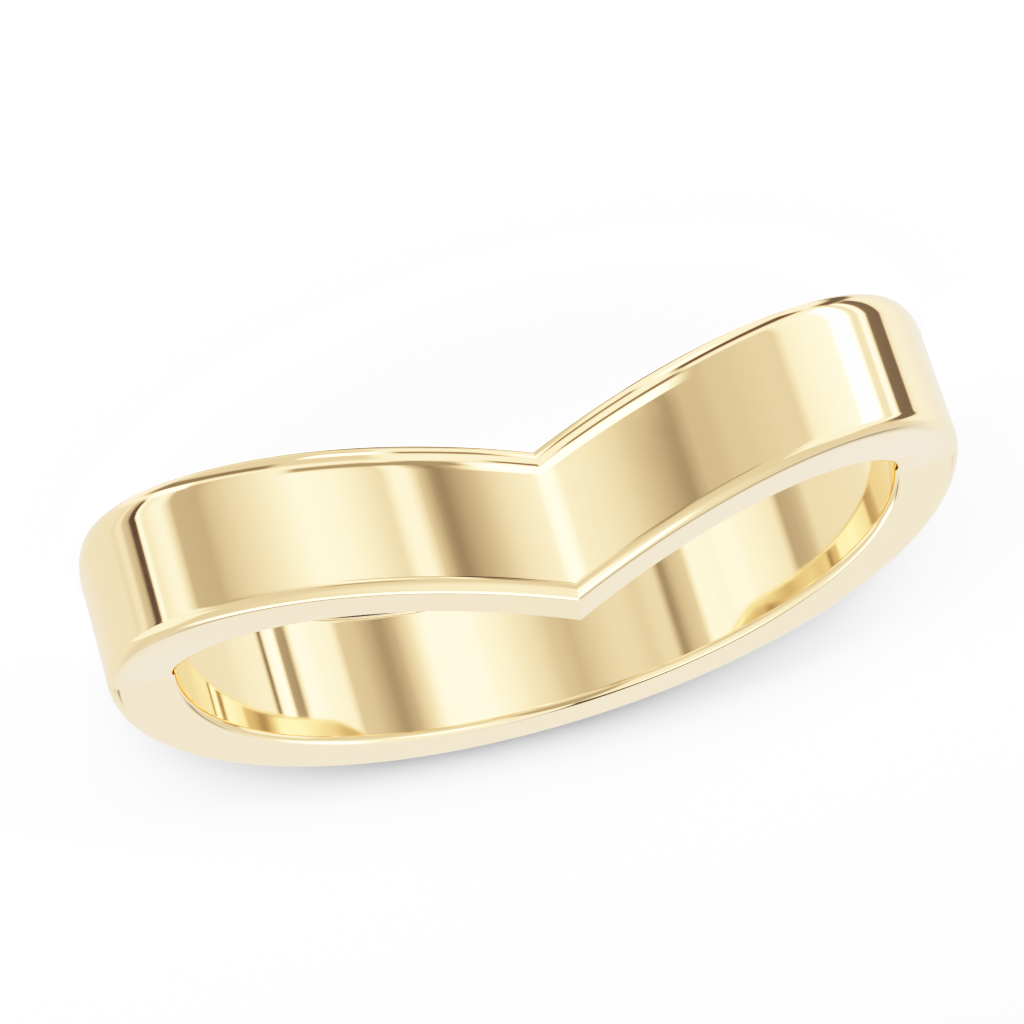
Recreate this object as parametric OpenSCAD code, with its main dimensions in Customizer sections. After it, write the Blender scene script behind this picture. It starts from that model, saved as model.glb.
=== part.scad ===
// Chevron ring: a plain round finger ring whose front dips in a V.
//
// The ring lies on its side. Its bore runs along +Z, z = 0 is the plane that it rests on, and the V is at
// the front, towards -Y, with its tip pointing up. Every point of the band is found from two numbers: the
// angle round the finger, which is 0 in the middle of the V, and the distance from the bore's axis.

/* [Band] */
// Inside diameter, which sets the finger size
finger_d = 17.3; // [14:0.1:22]
// Thickness of the band, from the bore to the outer surface
band_t = 1.6; // [1.2:0.05:2.4]
// Width of the band, the same all the way round
band_w = 3.5; // [2.4:0.1:5]

/* [V at the front] */
// How far the tip of the V stands above the shank
v_rise = 4.4; // [2:0.1:5]
// Angle round the finger, each way from the tip, at which an arm has met the shank
v_reach = 86; // [60:1:88]
// How an arm bends: 1 is straight, and more flattens the arm towards the shank
v_curve = 1.5; // [1.2:0.05:2.5]
// Lean of the side faces: 0 points them at the axis, and 1 runs them straight from front to back
side_lean = 0.6; // [0:0.05:1]

/* [Edges] */
// How far the rounding of the outer edge reaches down the outer surface on the tip's side
tip_edge_h = 0.3; // [0.1:0.05:0.8]
// The same on the side that the ring lies on
rest_edge_h = 0.7; // [0.1:0.05:1]
// How far the rounding of both outer edges reaches in across the side faces
outer_edge_d = 0.35; // [0.1:0.05:0.4]
// Radius of the rounding on both edges of the bore
bore_edge_r = 0.2; // [0.1:0.05:0.3]

/* [Smoothness] */
// Sections along each arm of the V
arm_steps = 36; // [24:4:60]
// Sections round the plain shank
shank_steps = 40; // [24:4:60]
// Flats across the rounding of an outer edge
edge_steps = 5; // [3:1:8]

/* [Hidden] */

bore_r = finger_d / 2;
outer_r = bore_r + band_t;

// Power with which the lean fades out towards the end of each arm
lean_fade = 4;
// The bore's roundings stop at this angle and run on straight, so that the bore cuts them cleanly
bore_edge_end = 60;
bore_edge_steps = 3;
// The swept body reaches this far inside the bore, which then cuts it back to a true cylinder
core_d = 0.5;
// The bore's cutter stands this far past both ends
past = 1;
bore_fn = 96;
gold = [0.87, 0.72, 0.42];

// Angles of the sections, once round from the middle of the V
section_angles = concat(
    [for (i = [0 : arm_steps - 1]) v_reach * i / arm_steps],
    [for (i = [0 : shank_steps]) v_reach + (360 - 2 * v_reach) * i / shank_steps],
    [for (i = [1 : arm_steps - 1]) 360 - v_reach + v_reach * i / arm_steps]
);

// Angle from the middle of the V, the shorter way round
function turn(angle) = min(angle, 360 - angle);

// Angle at which an arm's height is read for a point at radius r. The lean draws it in towards the middle
// of the V, and less and less so along the arm.
function arm_angle(angle, r) =
    let (
        plain = turn(angle),
        drawn_in = asin(pow(r / outer_r, side_lean) * sin(plain))
    )
    plain - (plain - drawn_in) * (1 - pow(plain / v_reach, lean_fade));

// Height of the band above the shank, nothing from the end of the arm round the back
function rise(angle, r) =
    turn(angle) >= v_reach ? 0 : v_rise * pow(1 - arm_angle(angle, r) / v_reach, v_curve);

// Outline of one section as [radius, height over that side's face, sign], from the outer surface inwards.
// The height is how far the point lies below the top face, or above the bottom one.
function outer_edge(edge_h) = [
    for (i = [0 : edge_steps])
        let (t = 90 * i / edge_steps)
        [outer_r - outer_edge_d * (1 - cos(t)), edge_h * (1 - sin(t))]
];
function bore_edge() = [
    for (i = [0 : bore_edge_steps])
        let (t = bore_edge_end * i / bore_edge_steps)
        [bore_r + bore_edge_r * (1 - sin(t)), bore_edge_r * (1 - cos(t))]
];
// End of the straight run past the bore's rounding, inside the bore
function core_point() =
    let (last = bore_edge()[bore_edge_steps])
    [bore_r - core_d, last[1] + (last[0] - bore_r + core_d) * tan(bore_edge_end)];

// One side of the section, from the outer surface to the core
function side_outline(edge_h) = concat(outer_edge(edge_h), bore_edge(), [core_point()]);

function reversed(list) = [for (i = [len(list) - 1 : -1 : 0]) list[i]];

// A section's points: the top side inwards, then the bottom side outwards
function section(angle) = concat(
    [for (p = side_outline(tip_edge_h)) ring_point(angle, p[0], band_w - p[1])],
    [for (p = reversed(side_outline(rest_edge_h))) ring_point(angle, p[0], p[1])]
);
function ring_point(angle, r, z) = [r * sin(angle), -r * cos(angle), z + rise(angle, r)];

section_len = 2 * (edge_steps + bore_edge_steps + 3);

// Skin between each section and the next, two triangles for each side of the outline
module swept_band() {
    count = len(section_angles);
    points = [for (angle = section_angles) each section(angle)];
    faces = [
        for (s = [0 : count - 1], p = [0 : section_len - 1])
            let (
                here = s * section_len,
                next = ((s + 1) % count) * section_len,
                q = (p + 1) % section_len
            )
            each [[here + p, here + q, next + p], [next + p, here + q, next + q]]
    ];
    polyhedron(points = points, faces = faces, convexity = 6);
}

// The whole ring, with its bore cut as one true cylinder
module band() {
    color(gold)
        difference() {
            swept_band();
            translate([0, 0, -past])
                cylinder(r = bore_r, h = band_w + v_rise + 2 * past, $fn = bore_fn);
        }
}

band();
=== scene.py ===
"""Polished gold chevron ring lying on its side on a pale floor, in a small jeweller's light tent.

The ring is one surface worked out from the angle round the finger and a place along the band's outline.
All lengths are in metres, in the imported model's own frame: the bore runs along +Z, the ring lies on z = 0 and
the V is at the front, towards -Y, with its tip up.
"""

import logging
import math
from dataclasses import dataclass
from enum import Enum

import bpy
import numpy as np
from mathutils import Matrix, Vector


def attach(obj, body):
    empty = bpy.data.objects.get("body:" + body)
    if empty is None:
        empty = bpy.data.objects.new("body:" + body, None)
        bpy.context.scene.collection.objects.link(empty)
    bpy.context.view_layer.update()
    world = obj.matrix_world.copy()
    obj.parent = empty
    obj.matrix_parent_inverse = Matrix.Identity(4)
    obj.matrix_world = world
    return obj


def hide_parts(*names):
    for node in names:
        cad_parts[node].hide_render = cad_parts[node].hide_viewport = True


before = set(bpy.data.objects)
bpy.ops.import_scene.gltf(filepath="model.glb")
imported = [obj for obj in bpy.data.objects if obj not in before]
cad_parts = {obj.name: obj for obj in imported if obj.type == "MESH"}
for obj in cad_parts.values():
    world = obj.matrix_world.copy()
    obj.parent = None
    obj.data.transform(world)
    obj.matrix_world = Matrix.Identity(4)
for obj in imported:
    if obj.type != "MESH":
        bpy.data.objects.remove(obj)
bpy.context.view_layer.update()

logging.basicConfig(level=logging.INFO, format="%(message)s")
log = logging.getLogger("chevron_ring")

MM = 0.001


class Side(Enum):
    """The band's two side faces: the one at the V's tip, and the one that the ring lies on."""

    TIP = 1
    REST = -1


class Spread(Enum):
    """How a light panel blends from its first edge to its second."""

    EVEN = "LINEAR"
    SOFT = "SMOOTHSTEP"


@dataclass(frozen=True)
class Panel:
    """One panel of light: where it begins and ends round the ring, and how bright each edge is.

    Angles are in degrees round the ring from the front, positive towards +X. Between one panel's end and the
    next one's start the light blends from one to the other.
    """

    name: str
    start: float
    end: float
    first: float
    last: float


@dataclass(frozen=True)
class Card:
    """One card above or below the tent's walls: how far round and up it reaches, its level and soft edges.

    Angles are in degrees: round the ring from the front, positive towards +X, and up from the horizon. A
    card that reaches past the back stands for the part of it on its own side.
    """

    name: str
    start: float
    end: float
    low: float
    high: float
    level: float
    side_edge: float = 6.0
    end_edge: float = 5.0


@dataclass
class NodeBench:
    """Puts shader nodes into one tree, with short calls for the sums that the studio and the metal need."""

    tree: bpy.types.NodeTree

    def add(self, kind: str, **settings: object) -> bpy.types.Node:
        """Adds one node.

        Args:
            kind: Blender's type name of the node.
            settings: values of the node's own properties.

        Returns:
            The new node.
        """
        node = self.tree.nodes.new(kind)
        for name, value in settings.items():
            setattr(node, name, value)
        return node

    def wire(self, value: object, socket: bpy.types.NodeSocket) -> None:
        """Feeds a socket from another socket, or sets it to a plain value."""
        if isinstance(value, bpy.types.NodeSocket):
            self.tree.links.new(value, socket)
        else:
            socket.default_value = value

    def sum(self, operation: str, *terms: object) -> bpy.types.NodeSocket:
        """One Math node with the given operation.

        Args:
            operation: Blender's name of the operation.
            terms: sockets or numbers, in the node's own order.

        Returns:
            The result's socket.
        """
        node = self.add("ShaderNodeMath", operation=operation)
        for term, socket in zip(terms, node.inputs):
            self.wire(term, socket)
        return node.outputs[0]

    def ramp(self, value: object, start: float, end: float, low: object, high: object,
             spread: Spread = Spread.SOFT) -> bpy.types.NodeSocket:
        """Goes from low to high while value goes from start to end, and stays there outside them.

        Args:
            value: what is measured.
            start: value at which the change begins.
            end: value at which it is over.
            low: result before the start.
            high: result after the end.
            spread: shape of the change.

        Returns:
            The result's socket.
        """
        node = self.add("ShaderNodeMapRange", interpolation_type=spread.value)
        for number, term in enumerate((value, start, end, low, high)):
            self.wire(term, node.inputs[number])
        return node.outputs[0]

    def window(self, value: object, start: float, end: float, edge: float) -> bpy.types.NodeSocket:
        """One inside start to end and nought outside, with edges that are this wide."""
        rise = self.ramp(value, start, start + edge, 0.0, 1.0)
        fall = self.ramp(value, end - edge, end, 1.0, 0.0)
        return self.sum("MULTIPLY", rise, fall)

    def cards(self, azimuth: bpy.types.NodeSocket, height: bpy.types.NodeSocket, level: object,
              cards: tuple[Card, ...]) -> bpy.types.NodeSocket:
        """Lays cards over a level, each later one in front.

        Args:
            azimuth: degrees round the ring from the front.
            height: degrees above the horizon.
            level: brightness behind the cards.
            cards: the cards.

        Returns:
            The brightness with the cards.
        """
        for card in cards:
            round_it = self.window(azimuth, card.start, card.end, card.side_edge)
            up_it = self.window(height, card.low, card.high, card.end_edge)
            level = self.between(self.sum("MULTIPLY", round_it, up_it), level, card.level)
        return level

    def between(self, share: object, low: object, high: object) -> bpy.types.NodeSocket:
        """Blend of two levels, low where the share is nought and high where it is one."""
        node = self.add("ShaderNodeMix", data_type="FLOAT")
        self.wire(share, node.inputs[0])
        self.wire(low, node.inputs[2])
        self.wire(high, node.inputs[3])
        return node.outputs[0]

    def mixed(self, share: object, low: object, high: object) -> bpy.types.NodeSocket:
        """Blend of two colours, low where the share is nought and high where it is one."""
        node = self.add("ShaderNodeMix", data_type="RGBA")
        self.wire(share, node.inputs[0])
        for colour, socket in ((low, node.inputs[6]), (high, node.inputs[7])):
            self.wire((*colour, 1.0) if isinstance(colour, tuple) else colour, socket)
        return node.outputs[2]

    def azimuth(self, x: bpy.types.NodeSocket, y: bpy.types.NodeSocket) -> bpy.types.NodeSocket:
        """Degrees round the ring from the front, positive towards +X."""
        turned = self.sum("ARCTAN2", x, self.sum("MULTIPLY", y, -1.0))
        return self.sum("MULTIPLY", turned, math.degrees(1.0))

    def panels(self, azimuth: bpy.types.NodeSocket, panels: tuple[Panel, ...]) -> bpy.types.NodeSocket:
        """Brightness of a row of panels: the first one's level, plus each later change on the way round."""
        edges = [(at, level) for panel in panels
                 for at, level in ((panel.start, panel.first), (panel.end, panel.last))]
        level: object = edges[0][1]
        for (start, low), (end, high) in zip(edges, edges[1:]):
            if high != low:
                level = self.sum("ADD", level, self.ramp(azimuth, start, end, 0.0, high - low, Spread.EVEN))
        return level


@dataclass
class ChevronBand:
    """The ring's one piece: a plain round band whose front dips in a V.

    Lengths in millimetres, angles in degrees.
    """

    finger_d: float = 17.3
    band_t: float = 1.6
    band_w: float = 3.5
    v_rise: float = 4.4
    v_reach: float = 86.0
    v_curve: float = 1.5
    side_lean: float = 0.6
    lean_fade: float = 4.0
    tip_edge_h: float = 0.3
    rest_edge_h: float = 0.7
    outer_edge_d: float = 0.35
    bore_edge_r: float = 0.2
    flare: float = 5.5
    flare_turn: tuple[float, float] = (16.0, 40.0)
    arm_sections: int = 300
    shank_sections: int = 180
    tip_step: float = 0.35
    edge_rows: int = 14
    face_rows: int = 5
    wall_rows: int = 14

    @property
    def bore_r(self) -> float:
        """Radius of the bore."""
        return self.finger_d / 2

    @property
    def outer_r(self) -> float:
        """Radius of the outer surface."""
        return self.bore_r + self.band_t

    def angles(self) -> np.ndarray:
        """Angles of the sections from the middle of the V, once round, closer together near the tip.

        Along an arm the step grows evenly from its share at the tip. Round the shank it stays the same.
        """
        share = np.linspace(0.0, 1.0, self.arm_sections, endpoint=False)
        arm = self.v_reach * (self.tip_step * share + (1.0 - self.tip_step) * share**2)
        shank = np.linspace(self.v_reach, 360.0 - self.v_reach, self.shank_sections, endpoint=False)
        return np.concatenate([arm, shank, [360.0 - self.v_reach], 360.0 - arm[:0:-1]])

    def rise(self, angle: np.ndarray, radius: np.ndarray) -> np.ndarray:
        """Height of the band above the shank.

        Away from the tip the height falls as a power of the share of the arm that is left. A point nearer to
        the bore reads its height at an angle drawn in by the lean of the side faces, less and less along the
        arm.

        Args:
            angle: degrees from the middle of the V, 0 to 360.
            radius: distance from the bore's axis.

        Returns:
            Heights, of the two arrays' common shape.
        """
        plain = np.minimum(np.minimum(angle, 360.0 - angle), self.v_reach)
        leaned = (radius / self.outer_r) ** self.side_lean
        drawn_in = np.degrees(np.arcsin(leaned * np.sin(np.radians(plain))))
        read = plain - (plain - drawn_in) * (1.0 - (plain / self.v_reach) ** self.lean_fade)
        return self.v_rise * np.clip(1.0 - read / self.v_reach, 0.0, 1.0) ** self.v_curve

    def half_outline(self, side: Side) -> tuple[np.ndarray, np.ndarray]:
        """Outline of the band on one side, from mid wall outside to mid wall inside.

        The outer rounding is a quarter ellipse and the bore's a quarter circle, with a straight face between.
        Each part leaves the last one in its own direction, so the outline has one direction everywhere.

        Args:
            side: which side face.

        Returns:
            Rows of radius and depth below that side's face, and the rows' directions.
        """
        edge_h = self.tip_edge_h if side is Side.TIP else self.rest_edge_h
        edge_d, bore_e = self.outer_edge_d, self.bore_edge_r
        turn = np.linspace(0.0, math.pi / 2, self.edge_rows)
        flat = np.zeros_like
        wall = np.linspace(self.band_w / 2, edge_h, self.wall_rows)
        face = np.linspace(self.outer_r - edge_d, self.bore_r + bore_e, self.face_rows)
        inner = np.linspace(bore_e, self.band_w / 2, self.wall_rows)
        parts = (
            (self.outer_r + flat(wall), wall, flat(wall), flat(wall) - 1.0),
            (self.outer_r - edge_d * (1 - np.cos(turn)), edge_h * (1 - np.sin(turn)),
             -edge_d * np.sin(turn), -edge_h * np.cos(turn)),
            (face, flat(face), flat(face) - 1.0, flat(face)),
            (self.bore_r + bore_e * (1 - np.sin(turn)), bore_e * (1 - np.cos(turn)),
             -np.cos(turn), np.sin(turn)),
            (self.bore_r + flat(inner), inner, flat(inner), flat(inner) + 1.0),
        )
        joined = np.concatenate([np.stack(part, 1)[:-1] for part in parts])
        return joined[:, :2], joined[:, 2:]

    def outline(self) -> tuple[np.ndarray, np.ndarray]:
        """Closed outline of the band.

        The tip side runs inwards and the resting side runs back outwards, each up to the other's first row.

        Returns:
            Rows of radius and height above the resting face, and the rows' directions.
        """
        tip, tip_way = self.half_outline(Side.TIP)
        rest, rest_way = self.half_outline(Side.REST)
        inner_middle = np.array([[self.bore_r, self.band_w / 2]])
        rows = np.concatenate([tip * (1, -1) + (0, self.band_w), inner_middle, rest[:0:-1]])
        ways = np.concatenate([tip_way * (1, -1), [[0.0, -1.0]], rest_way[:0:-1] * (-1, -1)])
        return rows, ways

    def flared(self, angle: np.ndarray, normals: np.ndarray) -> np.ndarray:
        """Leans the shading normals of the bore's wall upwards, to fit the photo's reflections in the hole.

        Only the shading leans, and the wall stays a true cylinder. The lean grows away from the middle of the
        shank. It counts for as much as a normal points at the bore's axis, so it fades out over the bore's
        rounding and leaves the outside alone.

        Args:
            angle: degrees from the middle of the V, 0 to 360.
            normals: the surface's unit normals.

        Returns:
            The leaned unit normals.
        """
        turn = np.radians(angle)
        inward = np.clip(normals[..., 1] * np.cos(turn) - normals[..., 0] * np.sin(turn), 0.0, 1.0)
        start, end = self.flare_turn
        share = np.clip((np.abs(180.0 - angle) - start) / (end - start), 0.0, 1.0)
        leaned = normals.copy()
        leaned[..., 2] += math.tan(math.radians(self.flare)) * share * share * (3.0 - 2.0 * share) * inward
        return leaned / np.linalg.norm(leaned, axis=-1, keepdims=True)

    def surface(self, ahead: bool) -> tuple[np.ndarray, np.ndarray]:
        """Points and normals on a grid, sections by outline.

        A point's place is its radius turned to the section's angle, and its height is its place across the
        band plus the band's rise there. Its normal is square to the outline's direction and to the direction
        round the finger. In the middle of the V that second direction jumps, so it is taken on one side.

        Args:
            ahead: whether the slope of the rise is taken just after each section or just before it.

        Returns:
            Points in metres and unit normals.
        """
        angle = self.angles()[:, None]
        rows, ways = self.outline()
        radius, height = rows[None, :, 0], rows[None, :, 1]
        sine, cosine = np.sin(np.radians(angle)), np.cos(np.radians(angle))
        rise = self.rise(angle, radius)
        points = np.stack([radius * sine, -radius * cosine, height + rise], -1)
        nudge, small = (1e-4 if ahead else -1e-4), 1e-5
        slope = (self.rise((angle + nudge) % 360.0, radius) - rise) / math.radians(nudge)
        lean = (self.rise(angle, radius + small) - rise) / small
        out_way, up_way = ways[None, :, 0], ways[None, :, 1]
        along = np.stack(np.broadcast_arrays(radius * cosine, radius * sine, slope), -1)
        across = np.stack([out_way * sine, -out_way * cosine, up_way + lean * out_way], -1)
        normals = np.cross(along, across)
        normals /= np.linalg.norm(normals, axis=-1, keepdims=True)
        return points * MM, self.flared(angle, normals)

    def build(self) -> bpy.types.Object:
        """Makes the mesh from the grid of points, closed both ways round, with the surface's own normals.

        Returns:
            The ring's object, at the origin.
        """
        points, ahead = self.surface(True)
        behind = self.surface(False)[1]
        sections, row = points.shape[:2]
        index = np.arange(sections * row).reshape(sections, row)
        after = np.roll(index, -1, 0)
        quads = np.stack([index, after, np.roll(after, -1, 1), np.roll(index, -1, 1)], -1).reshape(-1, 4)
        mesh = bpy.data.meshes.new("chevron_band")
        mesh.from_pydata(points.reshape(-1, 3), [], quads.tolist())
        mesh.polygons.foreach_set("use_smooth", np.ones(len(quads), bool))
        mesh.update()
        next_behind = np.roll(behind, -1, 0)
        corners = np.stack([ahead, next_behind, np.roll(next_behind, -1, 1), np.roll(ahead, -1, 1)], 2)
        mesh.normals_split_custom_set(corners.reshape(-1, 3))
        ring = bpy.data.objects.new("chevron_band", mesh)
        bpy.context.scene.collection.objects.link(ring)
        return ring


@dataclass(frozen=True)
class PolishedGold:
    """Polished yellow gold: a mirror-like metal with the faint unevenness that a polishing wheel leaves."""

    tint: tuple[float, float, float] = (1.0, 0.848, 0.59)
    roughness: float = 0.035
    rub: float = 0.02
    swirl_per_m: float = 900.0
    swirl_detail: float = 3.0
    swirl_range: tuple[float, float] = (0.35, 0.7)
    rubbed_share: float = 0.985

    def material(self) -> bpy.types.Material:
        """Builds the metal.

        Returns:
            The material.
        """
        made = bpy.data.materials.new("polished_gold")
        made.use_nodes = True
        bench = NodeBench(made.node_tree)
        shader = made.node_tree.nodes["Principled BSDF"]
        shader.inputs["Metallic"].default_value = 1.0
        place = bench.add("ShaderNodeTexCoord").outputs["Object"]
        wheel = bench.add("ShaderNodeTexNoise")
        bench.wire(place, wheel.inputs["Vector"])
        wheel.inputs["Scale"].default_value = self.swirl_per_m
        wheel.inputs["Detail"].default_value = self.swirl_detail
        bench.wire(bench.ramp(wheel.outputs[0], *self.swirl_range, self.roughness, self.roughness + self.rub),
                   shader.inputs["Roughness"])
        rubbed = tuple(self.rubbed_share * part for part in self.tint)
        bench.wire(bench.mixed(wheel.outputs[0], self.tint, rubbed), shader.inputs["Base Color"])
        return made


WARM = (1.0, 0.822, 0.605)
PALE = (1.0, 0.92, 0.82)

# The levels of all panels and cards were read off the brightness of the photo's stripes, traced back through
# the fitted camera to the direction that each stripe mirrors, then rounded and adjusted.
WALL_PANELS = (
    Panel("back right", -180, -152, 1.5, 1.5),
    Panel("right glow", -143, -131, 1.57, 1.97),
    Panel("right glow edge", -129.5, -126.6, 1.9, 1.6),
    Panel("right flag", -125.3, -118, 0.24, 0.27),
    Panel("right bounce", -115.8, -114, 3.0, 2.9),
    Panel("right gap", -112.9, -109.8, 1.52, 1.5),
    Panel("right strip lamp", -106, -101, 6.8, 6.8),
    Panel("right soft box", -98.6, -88, 2.7, 2.3),
    Panel("right soft box edge", -86, -81, 2.2, 1.95),
    Panel("right screen", -77.5, -71, 1.15, 1.17),
    Panel("right screen fall-off", -60, -54, 1.02, 0.98),
    Panel("right seam", -50.5, -45, 0.86, 0.83),
    Panel("front right shade", -40.5, -38.8, 0.47, 0.48),
    Panel("front right fade", -35, -28, 0.64, 0.98),
    Panel("front card", -23, -17, 1.3, 1.6),
    Panel("front card edge", -12, -8.8, 1.76, 1.9),
    Panel("front streak", -6.2, -4, 3.3, 3.1),
    Panel("front left card", -2.5, 3, 1.95, 1.62),
    Panel("front left fade", 5, 11, 1.48, 0.9),
    Panel("front left shade", 19.4, 20.6, 0.4, 0.4),
    Panel("left edge of the shade", 22, 25, 0.5, 1.0),
    Panel("left edge lamp", 28.2, 30.8, 2.35, 2.4),
    Panel("left seam", 34, 35.6, 1.39, 1.4),
    Panel("left soft box", 47, 56, 2.3, 2.65),
    Panel("left soft box edge", 62, 67, 2.1, 1.72),
    Panel("left fall-off", 73, 84, 1.4, 0.93),
    Panel("left shade", 88, 97.3, 0.7, 0.76),
    Panel("left strip lamp", 102.2, 105.5, 2.3, 2.2),
    Panel("left gap", 109, 110.8, 1.75, 1.72),
    Panel("left bounce", 111.8, 112.8, 2.9, 2.9),
    Panel("left flag", 113.8, 116.4, 0.13, 0.15),
    Panel("left grey", 117.9, 120.6, 0.78, 0.93),
    Panel("left back", 122.3, 124.6, 1.53, 1.5),
    Panel("left back seam", 126.2, 127, 1.26, 1.27),
    Panel("back left", 129, 180, 1.43, 1.45),
)

HOLE_PANELS = (
    Panel("back", -180, -166, 1.45, 1.5),
    Panel("back right lamp", -158, -142, 1.75, 2.0),
    Panel("right slot", -139.4, -138.2, 0.3, 0.3),
    Panel("right bounce", -136, -131, 2.8, 3.4),
    Panel("right flag", -128.3, -123.4, 0.55, 0.45),
    Panel("right strip lamp", -119.2, -113.3, 2.9, 2.8),
    Panel("right soft box", -110.4, -98.2, 2.5, 2.1),
    Panel("right screen", -94.3, -87, 1.02, 0.95),
    Panel("front right shade", -76.3, -73.5, 0.5, 0.5),
    Panel("front right fade", -68.5, -60.8, 0.71, 1.45),
    Panel("front window", -53.5, -33, 2.8, 2.8),
    Panel("front card", -29, -19, 2.4, 1.97),
    Panel("front fade", -14, -5, 1.68, 1.33),
    Panel("front shade", 2, 11, 0.99, 0.8),
    Panel("front left card", 16, 24, 0.93, 1.16),
    Panel("front left card edge", 32, 37, 1.3, 1.3),
    Panel("front left seam", 43.5, 46, 1.12, 1.12),
    Panel("front left strip", 51, 55.4, 1.3, 1.3),
    Panel("left shade", 58.8, 60.5, 0.42, 0.45),
    Panel("left shade edge", 64.2, 70.8, 0.84, 1.1),
    Panel("left soft box", 74, 85.6, 2.55, 2.35),
    Panel("left soft box edge", 89.3, 96.9, 2.6, 2.62),
    Panel("left fall-off", 101.7, 122, 2.27, 1.65),
    Panel("left flag", 127, 133.7, 0.61, 0.67),
    Panel("left grey", 138.5, 141.4, 0.82, 1.0),
    Panel("left back", 144.4, 180, 1.35, 1.45),
)

ROOF_CARDS = (
    Card("back left sky", 156, 210, -12, 60, 1.46, 5, 10),
    Card("back right sky", -210, -157, -12, 60, 1.48, 5, 10),
    Card("back left lamp", 142, 164, 18, 48, 4.2, 5, 4),
    Card("back left slot", 157, 167, 11, 27, 0.5, 3, 5),
    Card("back right slot", -155, -144, 7, 36, 0.5, 4, 6),
    Card("right high lamp", -140, -84, 39, 60, 5.0, 12, 6),
    Card("left lamp top", 107, 134, -11, 19, 2.15, 3, 5),
    Card("right lamp top", -119, -84, -9, 21, 2.2, 6, 6),
    Card("front left edge", -8, 58, -19, -9, 0.5, 8, 3),
    Card("front left shade top", 6, 30, -20, -7, 0.12, 6, 3),
    Card("front right edge", -66, -20, -18, -6, 0.42, 8, 4),
    Card("front left line", 44, 76, 8, 20, 0.5, 10, 5),
    Card("top shade", -24, 28, 26, 95, 0.6, 8, 8),
    Card("top right lamp", -78, -36, 42, 74, 4.2, 10, 8),
    Card("top left lamp", 122, 168, 55, 78, 3.8, 8, 6),
    Card("back left top slot", 167, 210, 34, 95, 0.15, 5, 8),
    Card("back right top slot", -210, -171, 34, 95, 0.15, 5, 8),
)

FLOOR_CARDS = (
    Card("bright floor", -210, 210, -95, -40, 2.1, 5, 4),
    Card("left floor", 24, 140, -90, -44, 1.15, 8, 6),
    Card("front sweep", -50, 16, -40, -22.8, 4.2, 16, 1.5),
    Card("front left seam", 4, 62, -42, -29.5, 0.5, 8, 4),
    Card("front right seam", -50, 2, -48, -40, 0.25, 8, 3),
    Card("left seam", 60, 132, -58, -45, 0.35, 8, 4),
    Card("left low lamp", 92, 118, -48, -38, 3.8, 6, 3),
    Card("right seam", -112, -40, -60, -47, 0.2, 8, 4),
    Card("back right seam", -158, -108, -51, -40, 0.22, 8, 4),
    Card("second seam", -35, 22, -75, -61, 0.4, 8, 4),
    Card("low left line", 22, 64, -76, -62, 4.5, 6, 4),
    Card("low right line", -75, -38, -72, -58, 3.6, 6, 4),
    Card("back left low", 138, 210, -84, -56, 0.8, 8, 6),
    Card("back right low", -210, -134, -80, -54, 0.35, 8, 5),
)


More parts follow.
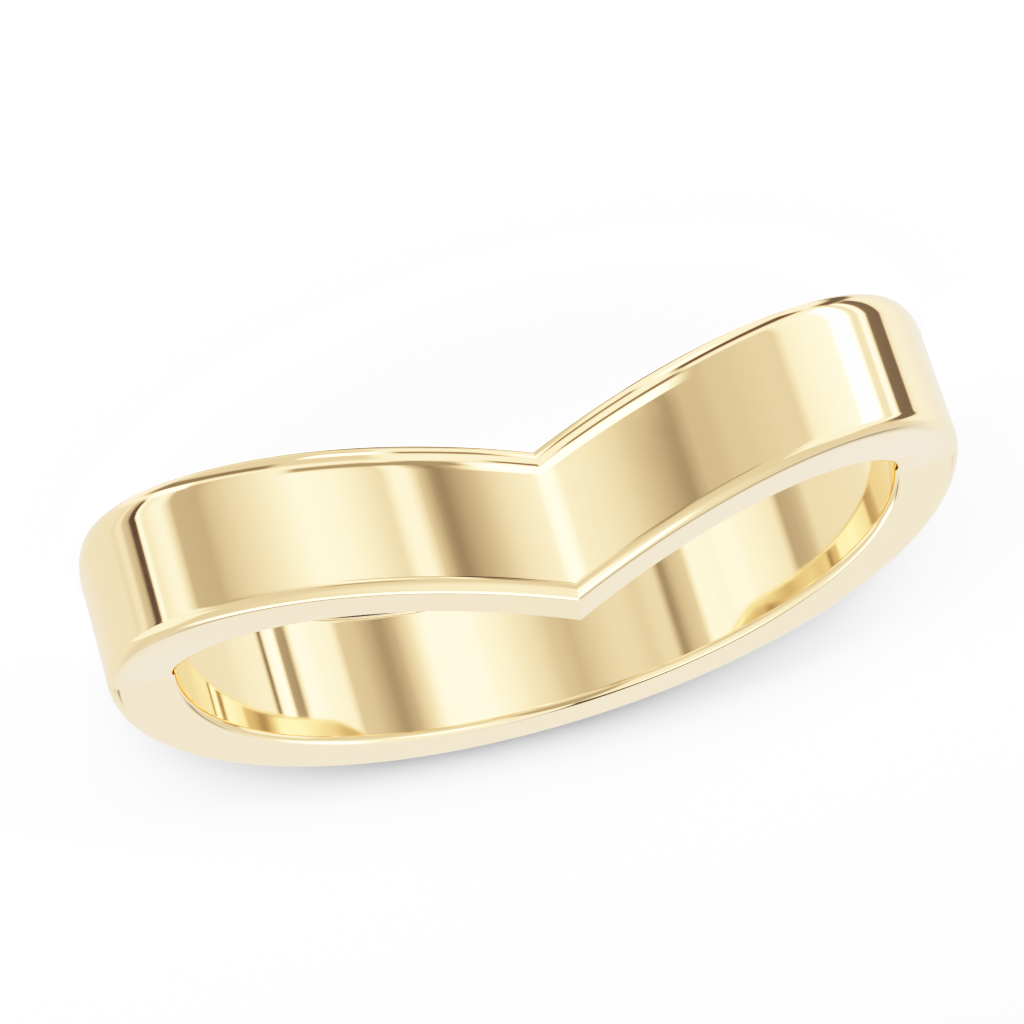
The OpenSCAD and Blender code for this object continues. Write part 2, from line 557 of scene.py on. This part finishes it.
@dataclass
class LightTent:
    """The studio: what the polished metal mirrors, what lights the floor, and what the camera sees behind it.

    The metal mirrors a tent of pale panels and dark flags. Its light is paler behind the ring and duskier on
    the flags. The floor is lit by a faint sky here and by the lamps, none of which shows in the metal.
    Angles in degrees.
    """

    panels: tuple[Panel, ...] = WALL_PANELS
    cards: tuple[Card, ...] = ROOF_CARDS + FLOOR_CARDS
    wall_top: tuple[float, float] = (1.0, 10.0)
    roof_rise: tuple[float, float, float, float] = (24.0, 52.0, 1.12, 1.85)
    warm: tuple[float, float, float] = WARM
    dusk: tuple[float, float, float] = (1.0, 0.7, 0.58)
    dusk_levels: tuple[float, float] = (0.1, 0.42)
    pale: tuple[float, float, float] = PALE
    pale_right: tuple[float, float, float] = (-163.0, -127.0, 0.95)
    pale_left: tuple[float, float] = (142.0, 176.0)
    pale_left_rise: tuple[float, float, float, float] = (-20.0, 0.0, 0.5, 0.88)
    bounces: int = 8
    sky: float = 0.02
    backdrop: float = 3.0

    def build(self) -> None:
        """Makes the world: the tent for mirrored rays, a faint sky for the floor and a white backdrop."""
        world = bpy.data.worlds.new("light_tent")
        bpy.context.scene.world = world
        world.use_nodes = True
        world.node_tree.nodes.clear()
        bench = NodeBench(world.node_tree)
        out = bench.add("ShaderNodeOutputWorld")
        place = bench.add("ShaderNodeSeparateXYZ")
        bench.wire(bench.add("ShaderNodeTexCoord").outputs["Generated"], place.inputs[0])
        x, y, z = place.outputs
        azimuth = bench.azimuth(x, y)
        height = bench.sum("MULTIPLY", bench.sum("ARCSINE", z), math.degrees(1.0))
        level = self.level(bench, azimuth, height)
        rays = bench.add("ShaderNodeLightPath")
        plain = bench.between(rays.outputs["Is Camera Ray"], self.sky, self.backdrop)
        shown = bench.between(rays.outputs["Is Glossy Ray"], plain, level)
        light = bench.add("ShaderNodeBackground")
        tone = self.tone(bench, azimuth, height, level)
        bench.wire(bench.mixed(rays.outputs["Is Glossy Ray"], (1.0, 1.0, 1.0), tone), light.inputs["Color"])
        bench.wire(shown, light.inputs["Strength"])
        bench.wire(light.outputs[0], out.inputs["Surface"])
        world.cycles.sampling_method = "NONE"
        settings = bpy.context.scene.cycles
        settings.caustics_reflective = False
        settings.glossy_bounces = settings.max_bounces = self.bounces

    def level(self, bench: NodeBench, azimuth: bpy.types.NodeSocket,
              height: bpy.types.NodeSocket) -> bpy.types.NodeSocket:
        """Brightness of the tent in one direction.

        Args:
            bench: the world's nodes.
            azimuth: degrees round the ring from the front.
            height: degrees above the horizon.

        Returns:
            The brightness.
        """
        wall = bench.panels(azimuth, self.panels)
        roof = bench.ramp(height, *self.roof_rise)
        level = bench.between(bench.ramp(height, *self.wall_top, 0.0, 1.0), wall, roof)
        return bench.cards(azimuth, height, level, self.cards)

    def tone(self, bench: NodeBench, azimuth: bpy.types.NodeSocket, height: bpy.types.NodeSocket,
             level: bpy.types.NodeSocket) -> bpy.types.NodeSocket:
        """Colour of the tent in one direction: warm, duskier where it is dark and paler behind the ring.

        Args:
            bench: the world's nodes.
            azimuth: degrees round the ring from the front.
            height: degrees above the horizon.
            level: the tent's brightness there.

        Returns:
            The colour.
        """
        start, end, most = self.pale_right
        right = bench.ramp(azimuth, start, end, most, 0.0)
        left = bench.sum("MULTIPLY", bench.ramp(azimuth, *self.pale_left, 0.0, 1.0),
                         bench.ramp(height, *self.pale_left_rise))
        lit = bench.mixed(bench.ramp(level, *self.dusk_levels, 0.0, 1.0), self.dusk, self.warm)
        return bench.mixed(bench.sum("ADD", right, left), lit, self.pale)


@dataclass
class HoleCard:
    """A ring of light panels under the band, below the floor, which only the wall of the hole mirrors.

    Lengths in metres.
    """

    radius: float = 0.0094
    top: float = -0.00002
    bottom: float = -0.009
    sides: int = 180
    panels: tuple[Panel, ...] = HOLE_PANELS
    tone: tuple[float, float, float] = WARM

    def build(self) -> bpy.types.Object:
        """Makes the card.

        Returns:
            The card's object.
        """
        turn = np.linspace(0.0, 2 * math.pi, self.sides, endpoint=False)
        circle = np.stack([self.radius * np.sin(turn), -self.radius * np.cos(turn)], 1)
        rows = [np.column_stack([circle, np.full(self.sides, height)]) for height in (self.top, self.bottom)]
        index = np.arange(self.sides)
        after = np.roll(index, -1)
        quads = np.stack([index, after, after + self.sides, index + self.sides], 1)
        mesh = bpy.data.meshes.new("hole_card")
        mesh.from_pydata(np.concatenate(rows), [], quads.tolist())
        mesh.update()
        card = bpy.data.objects.new("hole_card", mesh)
        bpy.context.scene.collection.objects.link(card)
        glow = bpy.data.materials.new("hole_card_glow")
        glow.use_nodes = True
        glow.node_tree.nodes.clear()
        bench = NodeBench(glow.node_tree)
        place = bench.add("ShaderNodeSeparateXYZ")
        bench.wire(bench.add("ShaderNodeTexCoord").outputs["Object"], place.inputs[0])
        light = bench.add("ShaderNodeEmission")
        light.inputs["Color"].default_value = (*self.tone, 1.0)
        bench.wire(bench.panels(bench.azimuth(*place.outputs[:2]), self.panels), light.inputs["Strength"])
        out = bench.add("ShaderNodeOutputMaterial")
        bench.wire(light.outputs[0], out.inputs["Surface"])
        glow.cycles.emission_sampling = "NONE"
        mesh.materials.append(glow)
        card.visible_camera = card.visible_diffuse = card.visible_shadow = False
        return card


@dataclass
class FloorSweep:
    """The pale floor: one large plane, which takes soft shadows and doesn't show in the metal."""

    half_width: float = 0.5
    white: float = 0.9

    def build(self) -> bpy.types.Object:
        """Makes the floor.

        Returns:
            The floor's object.
        """
        reach = self.half_width
        corners = [(-reach, -reach, 0.0), (reach, -reach, 0.0), (reach, reach, 0.0), (-reach, reach, 0.0)]
        mesh = bpy.data.meshes.new("floor")
        mesh.from_pydata(corners, [], [(0, 1, 2, 3)])
        mesh.update()
        plane = bpy.data.objects.new("floor", mesh)
        bpy.context.scene.collection.objects.link(plane)
        paper = bpy.data.materials.new("floor_paper")
        paper.use_nodes = True
        shader = paper.node_tree.nodes["Principled BSDF"]
        shader.inputs["Base Color"].default_value = (self.white, self.white, self.white, 1.0)
        shader.inputs["Roughness"].default_value = 1.0
        shader.inputs["Specular IOR Level"].default_value = 0.0
        mesh.materials.append(paper)
        plane.visible_glossy = False
        return plane


@dataclass
class LowLamp:
    """A low softbox in front of the ring, which lays a soft shadow behind it on the floor.

    Lengths in metres.
    """

    name: str
    side_deg: float
    height_deg: float
    width: float
    depth: float
    watts: float
    distance: float = 0.6

    def build(self) -> bpy.types.Object:
        """Makes the lamp.

        Returns:
            The lamp's object.
        """
        data = bpy.data.lights.new(self.name, "AREA")
        data.shape = "RECTANGLE"
        data.size, data.size_y = self.width, self.depth
        data.energy = self.watts
        lamp = bpy.data.objects.new(self.name, data)
        height, side = math.radians(self.height_deg), math.radians(self.side_deg)
        towards = Vector((math.sin(side) * math.cos(height), -math.cos(side) * math.cos(height),
                          math.sin(height)))
        lamp.location = towards * self.distance
        lamp.rotation_euler = towards.to_track_quat("Z", "Y").to_euler()
        lamp.visible_glossy = lamp.visible_camera = False
        bpy.context.scene.collection.objects.link(lamp)
        return lamp


FLOOR_LAMPS = (
    LowLamp("front lamp", 0.0, 14.8, 0.11, 0.11, 22.0),
    LowLamp("right fill", -24.0, 15.9, 0.3, 0.06, 10.0),
    LowLamp("left fill", 20.0, 14.0, 0.3, 0.06, 18.0),
)


@dataclass
class HoleLamp:
    """A small spotlight straight above the ring's hole, which keeps the floor inside the ring pale.

    Lengths in metres.
    """

    height: float = 0.12
    reach: float = 0.0099
    bulb: float = 0.004
    blend: float = 0.1
    watts: float = 2.0

    def build(self) -> bpy.types.Object:
        """Makes the lamp.

        Returns:
            The lamp's object.
        """
        data = bpy.data.lights.new("hole_lamp", "SPOT")
        data.energy = self.watts
        data.spot_size = 2 * math.atan(self.reach / self.height)
        data.spot_blend = self.blend
        data.shadow_soft_size = self.bulb
        lamp = bpy.data.objects.new("hole_lamp", data)
        lamp.location = (0.0, 0.0, self.height)
        lamp.visible_glossy = False
        bpy.context.scene.collection.objects.link(lamp)
        return lamp


@dataclass
class PhotoCamera:
    """The camera at the photograph's angle: above the floor in front of the V, with the picture turned over.

    The place and turn come from fitting the ring's edges. Angles in degrees, lengths in millimetres.
    """

    picture: int = 1024
    focal_px: float = 4297.0
    sensor_mm: float = 36.0
    distance: float = 100.46
    elevation: float = 21.93
    azimuth: float = 3.97
    turn: float = 162.88
    centre_x: float = 7.03
    centre_y: float = 6.12
    aim_height: float = 1.75
    nearest: float = 10.0
    farthest: float = 5000.0

    def build(self) -> bpy.types.Object:
        """Makes the camera and makes it the scene's.

        Returns:
            The camera's object.
        """
        side, height, turn = (math.radians(a) for a in (self.azimuth, self.elevation, self.turn))
        level = math.cos(height)
        back = Vector((math.sin(side) * level, -math.cos(side) * level, math.sin(height)))
        right = Vector((math.cos(side), math.sin(side), 0.0))
        up = back.cross(right)
        turned_right = right * math.cos(turn) + up * math.sin(turn)
        turned_up = up * math.cos(turn) - right * math.sin(turn)
        axes = Matrix((turned_right, turned_up, back)).transposed()
        seen = Vector((self.centre_x / self.focal_px, -self.centre_y / self.focal_px, -1.0)).normalized()
        swing = Vector((0.0, 0.0, -1.0)).rotation_difference(seen).to_matrix()
        axes = axes @ swing.transposed()
        data = bpy.data.cameras.new("photo_camera")
        data.sensor_width = self.sensor_mm
        data.lens = self.focal_px * self.sensor_mm / self.picture
        data.clip_start, data.clip_end = self.nearest * MM, self.farthest * MM
        camera = bpy.data.objects.new("photo_camera", data)
        spot = (back * self.distance + Vector((0.0, 0.0, self.aim_height))) * MM
        camera.matrix_world = Matrix.Translation(spot) @ axes.to_4x4()
        bpy.context.scene.collection.objects.link(camera)
        bpy.context.scene.camera = camera
        return camera


@dataclass
class Print:
    """How light becomes the picture: a film's curve, with bright tones rolled off gently.

    The dark that is left falls off with a power of the light, and the curve is scaled to end at full white.
    """

    density: float = 1.35
    contrast: float = 1.23
    darkest: float = 0.1
    white: float = 3.4
    stops: int = 9

    def exposed(self, light: float) -> float:
        """Brightness for a level of light, before the curve is scaled to end at full white."""
        return 1.0 - math.exp(-self.density * light**self.contrast)

    def set(self) -> None:
        """Sets the scene's view transform and its tone curve."""
        view = bpy.context.scene.view_settings
        view.view_transform = "Standard"
        view.look = "None"
        view.use_curve_mapping = True
        curves = view.curve_mapping
        curves.use_clip = True
        curves.clip_max_x, curves.clip_max_y = self.white, 1.0
        all_channels = curves.curves[3]
        all_channels.points[0].location = (0.0, 0.0)
        all_channels.points[-1].location = (self.white, 1.0)
        for light in np.geomspace(self.darkest, self.white, self.stops + 1)[:-1]:
            all_channels.points.new(light, self.exposed(light) / self.exposed(self.white))
        curves.update()


def main() -> None:
    """Builds the camera, the studio and the ring, and logs the ring's number of faces."""
    PhotoCamera().build()
    Print().set()
    LightTent().build()
    for lamp in FLOOR_LAMPS:
        lamp.build()
    HoleLamp().build()
    HoleCard().build()
    FloorSweep().build()
    ring = ChevronBand().build()
    ring.data.materials.append(PolishedGold().material())
    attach(ring, "root")
    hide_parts("band")
    log.info("ring: %d faces", len(ring.data.polygons))


if __name__ == "__main__":
    main()
